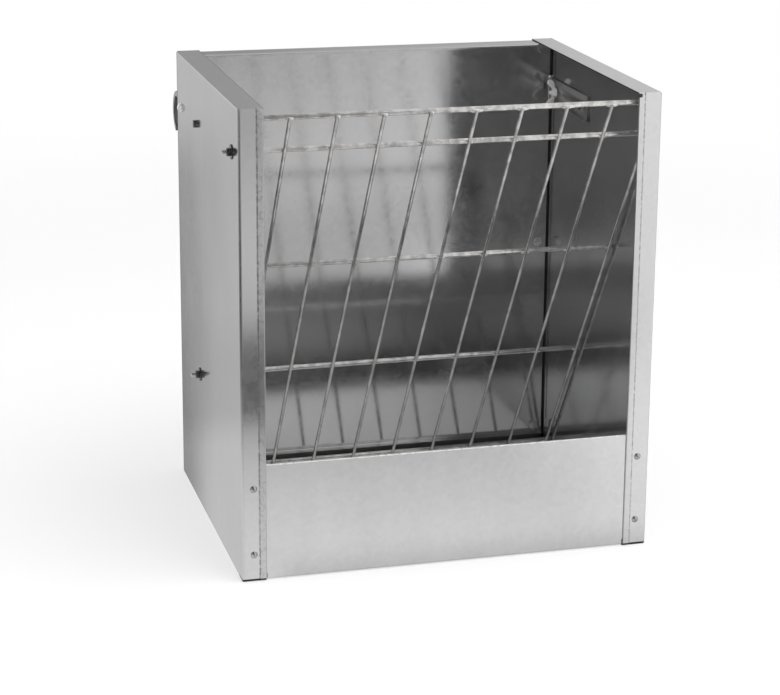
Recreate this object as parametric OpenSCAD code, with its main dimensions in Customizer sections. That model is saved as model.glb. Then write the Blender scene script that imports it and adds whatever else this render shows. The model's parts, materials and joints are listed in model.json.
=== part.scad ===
/* [Body] */
// Overall width over the side panels
body_w = 466; // [440:1:520]
// Depth from the hem of the front posts to the rear face
body_d = 368; // [350:1:400]
// Height of the side panels
body_h = 522; // [500:1:560]
// Thickness of the galvanised sheet
sheet_t = 1; // [0.8:0.1:1.2]
// Outside radius of every bend in the sheet
bend_r = 2; // [1.6:0.2:2.4]
// Width of the top, front and rear flanges of a side panel
flange_w = 27; // [24:1:32]
// Width of the flange that a side panel stands on
foot_flange_w = 27; // [22:1:32]
// Width of the hem folded over the edge of each front post
hem_w = 7; // [5:0.5:9]
// Gap between the lower end of each front post and the ground
post_foot_gap = 2.5; // [2:0.1:4]
// Side of the square relief notch at the top of each post
post_notch = 4; // [3:0.5:6]

/* [Feed tray] */
// Height of the tray's front wall above the ground
tray_front_h = 133; // [115:1:145]
// Depth of the hem along the tray's top edge
tray_hem_h = 12; // [8:1:16]
// Height of the tray's rear upstand above the ground
tray_rear_h = 31; // [29:1:40]
// Space between the tray's side edges and the side walls
tray_side_gap = 1.5; // [1.3:0.1:2]
// Height of the relief cut in the tray's lower front corners
tray_relief_h = 8; // [6:1:12]
// Depth of that relief cut in the tray floor
tray_relief_d = 12; // [8:1:20]

/* [Back panel] */
// Height of the underside of the back panel above the ground
back_foot_z = 15; // [12:0.5:16]
// Depth of the flange turned forward at its lower edge
back_foot_flange = 9; // [6:0.5:11]
// Depth of the fold turned forward at its top edge
back_top_fold = 27; // [20:1:30]
// Height of the lip turned down from the top fold
back_lip_h = 4; // [3.5:0.5:10]
// Space between the back panel's edges and the side walls
back_side_gap = 4.6; // [3.5:0.1:5]
// Distance that the top fold stops short of each side wall
back_fold_inset = 16; // [12:1:20]

/* [Hay grid] */
// Diameter of the cross rods
rod_d = 6; // [5.6:0.2:7]
// Diameter of the threaded rod ends
thread_d = 5; // [4:0.2:5]
// Length of a threaded end outside the wall
thread_len = 10.5; // [10:0.5:14]
// Diameter of the sloping wires
wire_d = 4; // [3:0.2:5]
// Number of sloping wires
wire_count = 10; // [8:1:10]
// Space between the outer wires' axes and the side walls
wire_side_gap = 4; // [3.5:0.5:8]
// Depth to which a weld sinks a wire into a rod
weld_sink = 0.3; // [0.2:0.1:0.5]
// Length of wire past the top and bottom rods
wire_over = 2; // [1:0.5:2.5]
// Distance of the top rod's axis behind the hem of the posts
top_rod_setback = 10; // [9.5:0.5:14]
// Distance of the top rod's axis below the top
top_rod_drop = 12; // [8:1:20]
// Distance of the bottom rod's axis in front of the rear face
bottom_rod_inset = 23; // [22:1:60]
// Height of the bottom rod's axis above the ground
bottom_rod_z = 10; // [9.5:0.5:20]
// Distance down the slope from the top rod to the upper tie rod
upper_tie_drop = 48; // [40:1:60]
// Distance down the slope from the top rod to the middle rod
middle_rod_drop = 233; // [210:1:250]
// Distance down the slope from the top rod to the lower tie rod
lower_tie_drop = 417; // [390:1:440]
// Gap between a free rod end and the side wall
rod_end_gap = 0.9; // [0.5:0.1:2]

/* [Tie rod nuts] */
// Outside diameter of the large washers under the nuts
washer_d = 16; // [14:0.5:18]
// Thickness of those washers
washer_t = 1.2; // [1:0.1:1.6]
// Width of the nuts across their flats
tie_nut_af = 8; // [7:0.5:10]
// Height of the nuts
tie_nut_h = 4; // [3:0.5:5]

/* [Hanging hooks] */
// Thickness of the hook plate
hook_t = 2.5; // [2:0.1:3]
// Height of the part of the plate on the wall
hook_plate_h = 31; // [26:1:36]
// Distance of the plate's top edge below the top of the box
hook_drop = 47; // [40:1:70]
// Distance of both bolts below the plate's top edge
hook_bolt_drop = 15; // [12:0.5:18]
// Length of the plate inside the box
hook_plate_len = 140; // [125:1:160]
// Distance that the hook reaches behind the rear face
hook_reach = 36; // [30:1:42]
// Width of the flat band that forms the bow
hook_finger_w = 6; // [5:0.5:8]
// Distance of the bow's top below the plate's top edge
hook_bow_drop = 3; // [0:0.5:6]
// Outer radius of the hook's round bow
hook_bow_r = 25; // [22:0.5:28]
// Angle through which the bow runs on below its rearmost point
hook_bow_sweep = 72; // [60:1:78]
// Width of the rib folded along the hook's outer edge
hook_rib_w = 16; // [12:1:22]
// Thickness of that rib
hook_rib_t = 2; // [1.5:0.25:2.5]
// Distance of the wing bolt in front of the rear face
hook_wing_bolt_inset = 29; // [26:1:40]
// Distance of the fixing bolt behind the plate's front end
hook_fixing_end = 13; // [12:0.5:20]
// Diameter of the hook bolts
hook_bolt_d = 5; // [5:0.5:6]
// Overall span of the hook wing nuts
hook_nut_span = 33; // [28:1:36]
// Diameter of the hub of the hook wing nuts
hook_nut_hub_d = 11; // [10:0.5:14]
// Height of the hub of the hook wing nuts
hook_nut_hub_h = 6.5; // [5:0.5:8]
// Height of the wings of the hook wing nuts
hook_nut_wing_h = 12; // [10:0.5:16]

/* [Fasteners] */
// Diameter of the bolts that hold the back panel
back_bolt_d = 6; // [5:0.5:6]
// Height of the lowest back bolt above the ground
back_bolt_z = 24; // [23.5:0.5:26]
// Distance of the highest back bolt below the top
back_bolt_drop = 12; // [11:0.5:20]
// Number of back bolts on each side
back_bolt_rows = 3; // [2:1:3]
// Distance of the back bolts from the outside of the side wall
back_bolt_inset = 15; // [14:0.5:18]
// Diameter of the rivets at the front
rivet_d = 4; // [3.2:0.2:4.8]
// Diameter of a rivet's domed head
rivet_head_d = 8; // [7:0.5:9]
// Height of a rivet's domed head
rivet_head_h = 2.2; // [1.6:0.2:2.6]
// Height of the lower rivet above the ground
rivet_z = 31; // [26:1:40]
// Vertical distance between the rivets
rivet_pitch = 75.5; // [60:0.5:80]
// Distance of the rivets from the outside of the side wall
rivet_inset = 13; // [12.5:0.5:15]

/* [Clearances] */
// Gap between sheets that lie against each other
lap_gap = 0.1; // [0.05:0.05:0.2]
// Radial clearance of a bolt or rod end in its hole
hole_gap = 0.25; // [0.15:0.05:0.4]
// Radial clearance of a rivet in its hole
rivet_gap = 0.05; // [0.03:0.01:0.1]
// Radial clearance of a nut on its thread
thread_gap = 0.05; // [0.03:0.01:0.08]
// Gap between a wing nut and the hook plate that it is turned up to
nut_gap = 0.3; // [0.2:0.05:0.4]
// Space around the hook plate in its slot
slot_gap = 0.5; // [0.4:0.1:1]

/* [Hidden] */
$fn = 48;
eps = 0.5;

// Outer and inner faces of the side walls
wall_x = body_w / 2;
wall_in = wall_x - sheet_t;
inner_bend = bend_r - sheet_t;

// The origin is the centre of the whole footprint, with the hooks and the rivet heads
rivet_proud = max(rivet_head_h - sheet_t, 0);
front_y = -(body_d + hook_reach + rivet_proud) / 2 + rivet_proud;
back_y = front_y + body_d;
post_y = front_y + sheet_t;
post_rear_y = post_y + sheet_t;
post_edge_x = wall_x - flange_w;

// Sheets that lie one behind the other at the front, the floor and the rear
tray_y = post_rear_y + lap_gap;
floor_z = sheet_t + lap_gap;
upstand_y = back_y - 2 * sheet_t - lap_gap;
tray_half_w = wall_in - tray_side_gap;
back_face_y = upstand_y - lap_gap - sheet_t;
back_half_w = wall_in - back_side_gap;
back_top_z = body_h - sheet_t - lap_gap;
fold_half_w = wall_in - back_fold_inset;

// Line of the rods' axes, from the top rod to the bottom rod
top_rod_y = front_y + top_rod_setback;
top_rod_z = body_h - top_rod_drop;
bottom_rod_y = back_y - bottom_rod_inset;
slope_y = bottom_rod_y - top_rod_y;
slope_z = bottom_rod_z - top_rod_z;
slope_len = sqrt(slope_y * slope_y + slope_z * slope_z);
dir_y = slope_y / slope_len;
dir_z = slope_z / slope_len;
tie_drops = [upper_tie_drop, lower_tie_drop];
shoulder_x = wall_in - lap_gap;
wire_span = 2 * (wall_in - wire_side_gap);
wire_pitch = wire_span / (wire_count - 1);
wire_offset = (rod_d + wire_d) / 2 - weld_sink;

// Hook plate and its bolts
hook_top_z = body_h - hook_drop;
hook_bolt_z = hook_top_z - hook_bolt_drop;
hook_fixing_inset = hook_plate_len - hook_fixing_end;
hook_face_x = wall_in - hook_t;
hook_foot_r = 4;
hook_rib_stop = 6;
hook_bow_y = back_y + hook_reach - hook_bow_r;
hook_bow_top_z = hook_top_z - hook_bow_drop;
hook_bow_z = hook_bow_top_z - hook_bow_r;
hook_head_d = 11;
hook_head_h = 5;
hook_hex_af = 8;
hook_hex_h = 4;
hook_nut_wing_t = 2.5;
hook_bolt_over = 2.5;

back_hex_af = 10;
back_hex_h = 4;
back_bolt_over = 1.5;
back_bolt_x = wall_x - back_bolt_inset;
back_bolt_pitch = (body_h - back_bolt_drop - back_bolt_z) / (back_bolt_rows - 1);
back_bolt_zs = [for (i = [0 : back_bolt_rows - 1]) back_bolt_z + i * back_bolt_pitch];
rivet_x = wall_x - rivet_inset;
rivet_zs = [rivet_z, rivet_z + rivet_pitch];
rivet_blind_r = 0.8 * rivet_d;
rivet_blind_h = 3;
rivet_pit_r = 1.1;
rivet_pit_h = 1;

zinc = [0.74, 0.76, 0.78];
zinc_dark = [0.66, 0.68, 0.7];
wire_steel = [0.8, 0.8, 0.79];
bolt_steel = [0.55, 0.56, 0.57];

function slope_point(s) = [top_rod_y + dir_y * s, top_rod_z + dir_z * s];

// One quarter of a sheet bend, about the origin, in the quadrant that sx and sy name
module bend(sx, sy) {
    intersection() {
        difference() {
            circle(r = bend_r);
            circle(r = inner_bend);
        }
        translate([sx < 0 ? -bend_r - eps : 0, sy < 0 ? -bend_r - eps : 0])
            square(bend_r + eps);
    }
}

// A flat drawing in x and z, drawn out along y
module along_y(y0, y1) {
    translate([0, y1, 0])
        rotate([90, 0, 0])
            linear_extrude(y1 - y0)
                children();
}

// A flat drawing in y and z, drawn out along x
module along_x(x0, x1) {
    translate([x0, 0, 0])
        rotate([90, 0, 90])
            linear_extrude(x1 - x0)
                children();
}

// A round hole or shank along x
module round_x(x0, x1, y, z, r) {
    translate([x0, y, z])
        rotate([0, 90, 0])
            cylinder(h = x1 - x0, r = r);
}

// A round hole or shank along y
module round_y(x, y0, y1, z, r) {
    translate([x, y0, z])
        rotate([-90, 0, 0])
            cylinder(h = y1 - y0, r = r);
}

// Hexagonal head or nut blank standing on z = 0
module hexagon(af, h) {
    cylinder(h = h, r = af / 2 / cos(30), $fn = 6);
}

// Domed head standing on z = 0
module dome(r, h) {
    ball_r = (r * r + h * h) / (2 * h);
    intersection() {
        translate([0, 0, h - ball_r])
            sphere(r = ball_r);
        translate([-r, -r, 0])
            cube([2 * r, 2 * r, h]);
    }
}

// Wall of the left panel with its top and bottom flanges, seen from the front
module wall_section() {
    translate([-wall_x, bend_r])
        square([sheet_t, body_h - 2 * bend_r]);
    translate([-wall_x + bend_r, body_h - bend_r])
        bend(-1, 1);
    translate([-wall_x + bend_r, bend_r])
        bend(-1, -1);
    translate([-wall_x + bend_r, 0])
        square([foot_flange_w - bend_r, sheet_t]);
}

// Front post of the left panel with its folded hem, seen from above
module post_section() {
    translate([-wall_x + bend_r, post_y + bend_r])
        bend(-1, -1);
    translate([-wall_x + bend_r, post_y])
        square([flange_w - bend_r - sheet_t, sheet_t]);
    translate([-post_edge_x - sheet_t, post_y])
        circle(r = sheet_t);
    translate([-post_edge_x - hem_w, front_y])
        square([hem_w - sheet_t, sheet_t]);
}

module rear_flange_section() {
    translate([-wall_x + bend_r, back_y - bend_r])
        bend(-1, 1);
    translate([-wall_x + bend_r, back_y - sheet_t])
        square([flange_w - bend_r, sheet_t]);
}

module side_panel_blank() {
    along_y(post_y + bend_r, back_y - bend_r)
        wall_section();
    translate([-wall_x + bend_r, post_y, body_h - sheet_t])
        cube([flange_w - bend_r, body_d - sheet_t, sheet_t]);
    translate([0, 0, post_foot_gap])
        linear_extrude(body_h - bend_r - post_foot_gap)
            post_section();
    translate([-wall_x + bend_r, post_y, body_h - bend_r])
        cube([flange_w - bend_r, sheet_t, inner_bend]);
    translate([0, 0, bend_r])
        linear_extrude(body_h - 2 * bend_r)
            rear_flange_section();
    translate([-wall_x + bend_r, back_y - sheet_t, body_h - bend_r])
        cube([flange_w - bend_r, sheet_t, inner_bend]);
}

module side_panel() {
    difference() {
        side_panel_blank();
        translate([-post_edge_x - post_notch, front_y - eps, body_h - sheet_t - post_notch])
            cube([post_notch + eps, 2 * sheet_t + 2 * eps, post_notch]);
        for (s = tie_drops) {
            p = slope_point(s);
            round_x(-wall_x - eps, -wall_in + eps, p[0], p[1], thread_d / 2 + hole_gap);
        }
        for (inset = [hook_wing_bolt_inset, hook_fixing_inset])
            round_x(-wall_x - eps, -wall_in + eps, back_y - inset, hook_bolt_z,
                hook_bolt_d / 2 + hole_gap);
        for (z = rivet_zs)
            round_y(-rivet_x, post_y - eps, post_rear_y + eps, z, rivet_d / 2 + rivet_gap);
        for (z = back_bolt_zs)
            round_y(-back_bolt_x, back_y - sheet_t - eps, back_y + eps, z,
                back_bolt_d / 2 + hole_gap);
        translate([-wall_in, back_y - bend_r - eps, hook_top_z - hook_plate_h - slot_gap])
            cube([hook_t + slot_gap, bend_r + 2 * eps, hook_plate_h + 2 * slot_gap]);
    }
}

module left_side_panel() {
    color(zinc)
        side_panel();
}

module right_side_panel() {
    color(zinc)
        mirror([1, 0, 0])
            side_panel();
}

// Back panel seen from the side, without its top fold
module back_wall_section() {
    translate([back_face_y, back_foot_z + bend_r])
        square([sheet_t, back_top_z - back_foot_z - 2 * bend_r]);
    translate([back_face_y + sheet_t - bend_r, back_foot_z + bend_r])
        bend(1, -1);
    translate([back_face_y + sheet_t - back_foot_flange, back_foot_z])
        square([back_foot_flange - bend_r, sheet_t]);
}

// Fold and lip along the top of the back panel, seen from the side
module back_fold_section() {
    rear = back_face_y + sheet_t;
    lip_y = rear - back_top_fold;
    translate([rear - bend_r, back_top_z - bend_r])
        bend(1, 1);
    translate([lip_y + bend_r, back_top_z - sheet_t])
        square([back_top_fold - 2 * bend_r, sheet_t]);
    translate([lip_y + bend_r, back_top_z - bend_r])
        bend(-1, 1);
    translate([lip_y, back_top_z - back_lip_h])
        square([sheet_t, back_lip_h - bend_r]);
}

module back_panel() {
    color(zinc_dark)
        difference() {
            union() {
                along_x(-back_half_w, back_half_w)
                    back_wall_section();
                along_x(-fold_half_w, fold_half_w)
                    back_fold_section();
            }
            for (side = [-1, 1])
                for (z = back_bolt_zs)
                    round_y(side * back_bolt_x, back_face_y - eps, back_face_y + sheet_t + eps,
                        z, back_bolt_d / 2 + hole_gap);
        }
}

// Front wall with its hem, floor and rear upstand of the tray, seen from the side
module tray_section() {
    rear = upstand_y + sheet_t;
    translate([tray_y, floor_z + bend_r])
        square([sheet_t, tray_front_h - sheet_t - floor_z - bend_r]);
    translate([tray_y + sheet_t, tray_front_h - sheet_t])
        circle(r = sheet_t);
    translate([tray_y + sheet_t, tray_front_h - tray_hem_h])
        square([sheet_t, tray_hem_h - sheet_t]);
    translate([tray_y + bend_r, floor_z + bend_r])
        bend(-1, -1);
    translate([tray_y + bend_r, floor_z])
        square([rear - tray_y - 2 * bend_r, sheet_t]);
    translate([rear - bend_r, floor_z + bend_r])
        bend(1, -1);
    translate([upstand_y, floor_z + bend_r])
        square([sheet_t, tray_rear_h - floor_z - bend_r]);
}

module feed_tray() {
    relief_x = post_edge_x - sheet_t;
    color(zinc)
        difference() {
            along_x(-tray_half_w, tray_half_w)
                tray_section();
            for (side = [0, 1])
                mirror([side, 0, 0])
                    translate([relief_x, tray_y - eps, 0])
                        cube([tray_half_w - relief_x + eps, tray_relief_d + eps, tray_relief_h]);
            for (side = [-1, 1])
                for (z = rivet_zs)
                    round_y(side * rivet_x, tray_y - eps, tray_y + sheet_t + eps, z,
                        rivet_d / 2 + rivet_gap);
            for (side = [-1, 1])
                round_y(side * back_bolt_x, upstand_y - eps, upstand_y + sheet_t + eps,
                    back_bolt_z, back_bolt_d / 2 + hole_gap);
        }
}

// A cross rod that stops just short of the side walls
module cross_rod(s) {
    p = slope_point(s);
    half = wall_in - rod_end_gap;
    color(wire_steel)
        round_x(-half, half, p[0], p[1], rod_d / 2);
}

// A cross rod whose thinner threaded ends pass out through both side walls
module tie_rod(s) {
    p = slope_point(s);
    half = wall_x + thread_len;
    color(wire_steel)
        union() {
            round_x(-shoulder_x, shoulder_x, p[0], p[1], rod_d / 2);
            round_x(-half, half, p[0], p[1], thread_d / 2);
        }
}

module top_rod() {
    cross_rod(0);
}

module upper_tie_rod() {
    tie_rod(upper_tie_drop);
}

module middle_rod() {
    cross_rod(middle_rod_drop);
}

module lower_tie_rod() {
    tie_rod(lower_tie_drop);
}

module bottom_rod() {
    cross_rod(slope_len);
}

// One sloping wire, welded to the front and lower side of the rods
module hay_wire(i) {
    x = -wire_span / 2 + (i - 1) * wire_pitch;
    p = slope_point(-wire_over);
    tilt = atan2(slope_y, slope_z);
    color(wire_steel)
        translate([x, p[0] + dir_z * wire_offset, p[1] - dir_y * wire_offset])
            rotate([-tilt, 0, 0])
                cylinder(h = slope_len + 2 * wire_over, r = wire_d / 2);
}

// Outline of the wings: x across the span, y up from the base
module wing_outline(span, hub_d, hub_h, wing_h) {
    lobe_r = 0.32 * wing_h;
    lobe_x = span / 2 - lobe_r;
    lobe_y = wing_h - lobe_r;
    for (side = [0, 1])
        mirror([side, 0]) {
            translate([lobe_x, lobe_y])
                circle(r = lobe_r);
            polygon([
                [hub_d * 0.34, hub_h * 0.1],
                [hub_d * 0.45, hub_h * 0.1],
                [lobe_x + lobe_r * 0.85, lobe_y - lobe_r * 0.53],
                [lobe_x - lobe_r * 0.8, lobe_y + lobe_r * 0.6],
                [hub_d * 0.34, hub_h * 0.85]
            ]);
        }
}

// Wing nut standing on z = 0, its wings across x
module wing_nut(span, hub_d, hub_h, wing_h, wing_t, bore_r) {
    difference() {
        union() {
            cylinder(h = hub_h, r1 = hub_d / 2, r2 = hub_d * 0.42);
            translate([0, wing_t / 2, 0])
                rotate([90, 0, 0])
                    linear_extrude(wing_t)
                        wing_outline(span, hub_d, hub_h, wing_h);
        }
        translate([0, 0, -eps])
            cylinder(h = wing_h + 2 * eps, r = bore_r);
    }
}

// Large washer on the outside of the left wall
module tie_washer(s) {
    p = slope_point(s);
    difference() {
        round_x(-wall_x - washer_t, -wall_x, p[0], p[1], washer_d / 2);
        round_x(-wall_x - washer_t - eps, -wall_x + eps, p[0], p[1], thread_d / 2 + hole_gap);
    }
}

// Hexagon nut against that washer
module tie_nut(s) {
    p = slope_point(s);
    translate([-wall_x - washer_t, p[0], p[1]])
        rotate([0, -90, 0])
            difference() {
                hexagon(tie_nut_af, tie_nut_h);
                translate([0, 0, -eps])
                    cylinder(h = tie_nut_h + 2 * eps, r = thread_d / 2 + thread_gap);
            }
}

module tie_rod_washers() {
    color(zinc)
        for (side = [0, 1])
            mirror([side, 0, 0])
                for (s = tie_drops)
                    tie_washer(s);
}

module tie_rod_nuts() {
    color(bolt_steel)
        for (side = [0, 1])
            mirror([side, 0, 0])
                for (s = tie_drops)
                    tie_nut(s);
}

// Band of the bow from its top, between its outer edge and a given depth inside it
module bow_band(depth, sweep) {
    far = 2 * hook_bow_r;
    intersection() {
        difference() {
            circle(r = hook_bow_r);
            circle(r = hook_bow_r - depth);
        }
        polygon([[0, 0], [0, far], [far, far], [far, -far], [cos(sweep) * far, -sin(sweep) * far]]);
    }
}

// Flat plate of the hook with its bow, seen from the side
module hook_plate_section() {
    plate_z = hook_top_z - hook_plate_h;
    translate([back_y - hook_plate_len + hook_foot_r, plate_z])
        square([hook_plate_len - hook_foot_r, hook_plate_h]);
    translate([back_y - hook_plate_len, plate_z + hook_foot_r])
        square([2 * hook_foot_r, hook_plate_h - hook_foot_r]);
    translate([back_y - hook_plate_len + hook_foot_r, plate_z + hook_foot_r])
        circle(r = hook_foot_r);
    translate([back_y - eps, hook_bow_top_z - hook_finger_w])
        square([hook_bow_y - back_y + eps, hook_finger_w]);
    translate([hook_bow_y, hook_bow_z])
        bow_band(hook_finger_w, hook_bow_sweep);
}

// Rib folded along the bow's outer edge, seen from the side
module hook_rib_section() {
    translate([hook_bow_y, hook_bow_z])
        bow_band(hook_rib_t, hook_bow_sweep - hook_rib_stop);
}

module hanging_hook() {
    difference() {
        union() {
            along_x(-wall_in, -hook_face_x)
                hook_plate_section();
            along_x(-wall_in, -wall_in + hook_rib_w)
                hook_rib_section();
        }
        for (inset = [hook_wing_bolt_inset, hook_fixing_inset])
            round_x(-wall_in - eps, -hook_face_x + eps, back_y - inset, hook_bolt_z,
                hook_bolt_d / 2 + hole_gap);
    }
}

module left_hanging_hook() {
    color(zinc_dark)
        hanging_hook();
}

module right_hanging_hook() {
    color(zinc_dark)
        mirror([1, 0, 0])
            hanging_hook();
}

// Round-headed bolt through the left wall and the hook plate, for the wing nut
module wing_bolt() {
    shank_end = -hook_face_x + nut_gap + hook_nut_hub_h + hook_bolt_over;
    y = back_y - hook_wing_bolt_inset;
    translate([-wall_x, y, hook_bolt_z])
        rotate([0, -90, 0])
            dome(hook_head_d / 2, hook_head_h);
    round_x(-wall_x, shank_end, y, hook_bolt_z, hook_bolt_d / 2);
}

module hook_wing_bolts() {
    color(bolt_steel)
        for (side = [0, 1])
            mirror([side, 0, 0])
                wing_bolt();
}

module hook_wing_nut() {
    color(bolt_steel)
        translate([-hook_face_x + nut_gap, back_y - hook_wing_bolt_inset, hook_bolt_z])
            rotate([0, 90, 0])
                wing_nut(hook_nut_span, hook_nut_hub_d, hook_nut_hub_h, hook_nut_wing_h,
                    hook_nut_wing_t, hook_bolt_d / 2 + thread_gap);
}

module left_hook_wing_nut() {
    hook_wing_nut();
}

module right_hook_wing_nut() {
    mirror([1, 0, 0])
        hook_wing_nut();
}

// Hexagon bolt through the left wall and the front end of the hook plate
module fixing_bolt() {
    shank_end = -hook_face_x + hook_hex_h + hook_bolt_over;
    y = back_y - hook_fixing_inset;
    translate([-wall_x, y, hook_bolt_z])
        rotate([0, -90, 0])
            hexagon(hook_hex_af, hook_hex_h);
    round_x(-wall_x, shank_end, y, hook_bolt_z, hook_bolt_d / 2);
}

module hook_fixing_bolts() {
    color(bolt_steel)
        for (side = [0, 1])
            mirror([side, 0, 0])
                fixing_bolt();
}

module hook_fixing_nuts() {
    color(bolt_steel)
        for (side = [0, 1])
            mirror([side, 0, 0])
                translate([-hook_face_x, back_y - hook_fixing_inset, hook_bolt_z])
                    rotate([0, 90, 0])
                        difference() {
                            hexagon(hook_hex_af, hook_hex_h);
                            translate([0, 0, -eps])
                                cylinder(h = hook_hex_h + 2 * eps, r = hook_bolt_d / 2 + thread_gap);
                        }
}

module back_panel_bolts() {
    shank_end = back_y + back_hex_h + back_bolt_over;
    color(bolt_steel)
        for (x = [-back_bolt_x, back_bolt_x])
            for (z = back_bolt_zs) {
                translate([x, back_face_y, z])
                    rotate([90, 0, 0])
                        hexagon(back_hex_af, back_hex_h);
                round_y(x, back_face_y, shank_end, z, back_bolt_d / 2);
            }
}

module back_panel_nuts() {
    color(bolt_steel)
        for (x = [-back_bolt_x, back_bolt_x])
            for (z = back_bolt_zs)
                translate([x, back_y, z])
                    rotate([-90, 0, 0])
                        difference() {
                            hexagon(back_hex_af, back_hex_h);
                            translate([0, 0, -eps])
                                cylinder(h = back_hex_h + 2 * eps, r = back_bolt_d / 2 + thread_gap);
                        }
}

// Blind rivet with its domed head on the post, a pit in the head and a bulb behind
module front_rivets() {
    bulb_y = tray_y + sheet_t;
    color(zinc)
        for (x = [-rivet_x, rivet_x])
            for (z = rivet_zs) {
                difference() {
                    translate([x, post_y, z])
                        rotate([90, 0, 0])
                            dome(rivet_head_d / 2, rivet_head_h);
                    round_y(x, post_y - rivet_head_h - eps, post_y - rivet_head_h + rivet_pit_h, z,
                        rivet_pit_r);
                }
                round_y(x, post_y, bulb_y + rivet_blind_h, z, rivet_d / 2);
                round_y(x, bulb_y, bulb_y + rivet_blind_h, z, rivet_blind_r);
            }
}

left_side_panel();
right_side_panel();
back_panel();
feed_tray();
top_rod();
upper_tie_rod();
middle_rod();
lower_tie_rod();
bottom_rod();
for (i = [1 : wire_count])
    hay_wire(i);
tie_rod_washers();
tie_rod_nuts();
left_hanging_hook();
right_hanging_hook();
hook_wing_bolts();
left_hook_wing_nut();
right_hook_wing_nut();
hook_fixing_bolts();
hook_fixing_nuts();
back_panel_bolts();
back_panel_nuts();
front_rivets();
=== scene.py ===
import bpy
import json
import math
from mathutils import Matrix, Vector

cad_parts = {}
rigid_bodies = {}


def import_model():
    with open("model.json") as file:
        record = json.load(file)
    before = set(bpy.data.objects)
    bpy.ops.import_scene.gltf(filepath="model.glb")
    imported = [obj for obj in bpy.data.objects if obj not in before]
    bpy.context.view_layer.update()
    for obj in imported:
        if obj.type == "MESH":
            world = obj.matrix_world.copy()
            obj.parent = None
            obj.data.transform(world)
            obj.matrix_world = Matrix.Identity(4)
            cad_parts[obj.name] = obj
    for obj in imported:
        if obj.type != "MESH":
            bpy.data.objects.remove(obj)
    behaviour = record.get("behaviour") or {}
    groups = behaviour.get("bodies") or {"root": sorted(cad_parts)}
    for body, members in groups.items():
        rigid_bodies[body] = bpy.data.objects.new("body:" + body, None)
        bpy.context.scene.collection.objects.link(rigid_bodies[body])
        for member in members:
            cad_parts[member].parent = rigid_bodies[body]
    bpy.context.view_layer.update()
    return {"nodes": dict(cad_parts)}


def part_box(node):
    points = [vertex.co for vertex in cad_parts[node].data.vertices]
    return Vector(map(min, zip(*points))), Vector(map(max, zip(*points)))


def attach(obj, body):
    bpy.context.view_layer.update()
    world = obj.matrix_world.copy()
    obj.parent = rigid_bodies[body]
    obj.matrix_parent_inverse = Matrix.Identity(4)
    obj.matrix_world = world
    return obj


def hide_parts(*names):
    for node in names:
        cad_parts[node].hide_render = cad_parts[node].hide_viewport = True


for startPiece in list(bpy.data.objects):
    bpy.data.objects.remove(startPiece, do_unlink=True)
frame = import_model()
nodes = frame["nodes"]
mm = 0.001
quarter = math.pi / 2
smoothAngle = math.radians(42)                           # faces at a wider angle keep a sharp edge
weldGap, sliver = 1e-6, 1e-7                             # closer vertices merge, thinner faces go
print("stage: frame loaded,", len(nodes), "nodes")


# Selecting and drawing

def startClean():
    if bpy.context.mode != "OBJECT":
        bpy.ops.object.mode_set(mode="OBJECT")
    bpy.ops.object.select_all(action="DESELECT")


def onlyThis(piece):
    startClean()
    piece.select_set(True)
    bpy.context.view_layer.objects.active = piece


def firstVertex(name):
    # a plane merged to one vertex at the origin, left in edit mode to be drawn out
    startClean()
    bpy.ops.mesh.primitive_plane_add(size=2 * mm, location=(0, 0, 0))
    piece = bpy.context.object
    piece.name = name
    bpy.ops.object.mode_set(mode="EDIT")
    bpy.ops.mesh.select_mode(type="VERT")
    bpy.ops.mesh.merge(type="CENTER")
    return piece


def drawLine(points):
    # extrudes the one vertex from point to point
    bpy.ops.transform.translate(value=points[0])
    for before, after in zip(points, points[1:]):
        step = [b - a for a, b in zip(before, after)]
        bpy.ops.mesh.extrude_region_move(TRANSFORM_OT_translate={"value": step})


def turned(name, profile, sides):
    # profile: (radius, height) in mm; spun round Z into a closed solid
    piece = firstVertex(name)
    drawLine([(r * mm, 0, h * mm) for r, h in profile])
    bpy.ops.mesh.select_all(action="SELECT")
    bpy.ops.mesh.spin(steps=sides, angle=2 * math.pi, center=(0, 0, 0), axis=(0, 0, 1))
    bpy.ops.mesh.select_all(action="SELECT")
    bpy.ops.mesh.remove_doubles(threshold=weldGap)
    bpy.ops.mesh.dissolve_degenerate(threshold=sliver)
    bpy.ops.mesh.normals_make_consistent(inside=False)
    bpy.ops.object.mode_set(mode="OBJECT")
    bpy.ops.object.shade_smooth_by_angle(angle=smoothAngle)
    return piece


def plate(name, outline, thickness):
    # outline: (x, z) in mm; a flat plate of that outline, its middle plane at y = 0
    piece = firstVertex(name)
    drawLine([(x * mm, -thickness / 2 * mm, z * mm) for x, z in outline])
    bpy.ops.mesh.select_all(action="SELECT")
    bpy.ops.mesh.edge_face_add()
    bpy.ops.mesh.extrude_region_move(TRANSFORM_OT_translate={"value": (0, thickness * mm, 0)})
    bpy.ops.mesh.select_all(action="SELECT")
    bpy.ops.mesh.normals_make_consistent(inside=False)
    bpy.ops.object.mode_set(mode="OBJECT")
    return piece


def finishWith(piece, kind, **settings):
    onlyThis(piece)
    modifier = piece.modifiers.new(kind.lower(), kind)
    for key, value in settings.items():
        setattr(modifier, key, value)
    bpy.ops.object.modifier_apply(modifier=modifier.name)
    return piece


def softEdges(piece, width, angle, segments=2):
    # rounds the edges whose faces meet at more than this angle in degrees
    finishWith(piece, "BEVEL", width=width * mm, segments=segments, limit_method="ANGLE",
               angle_limit=math.radians(angle), harden_normals=False)
    bpy.ops.object.shade_smooth_by_angle(angle=smoothAngle)
    return piece


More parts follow.
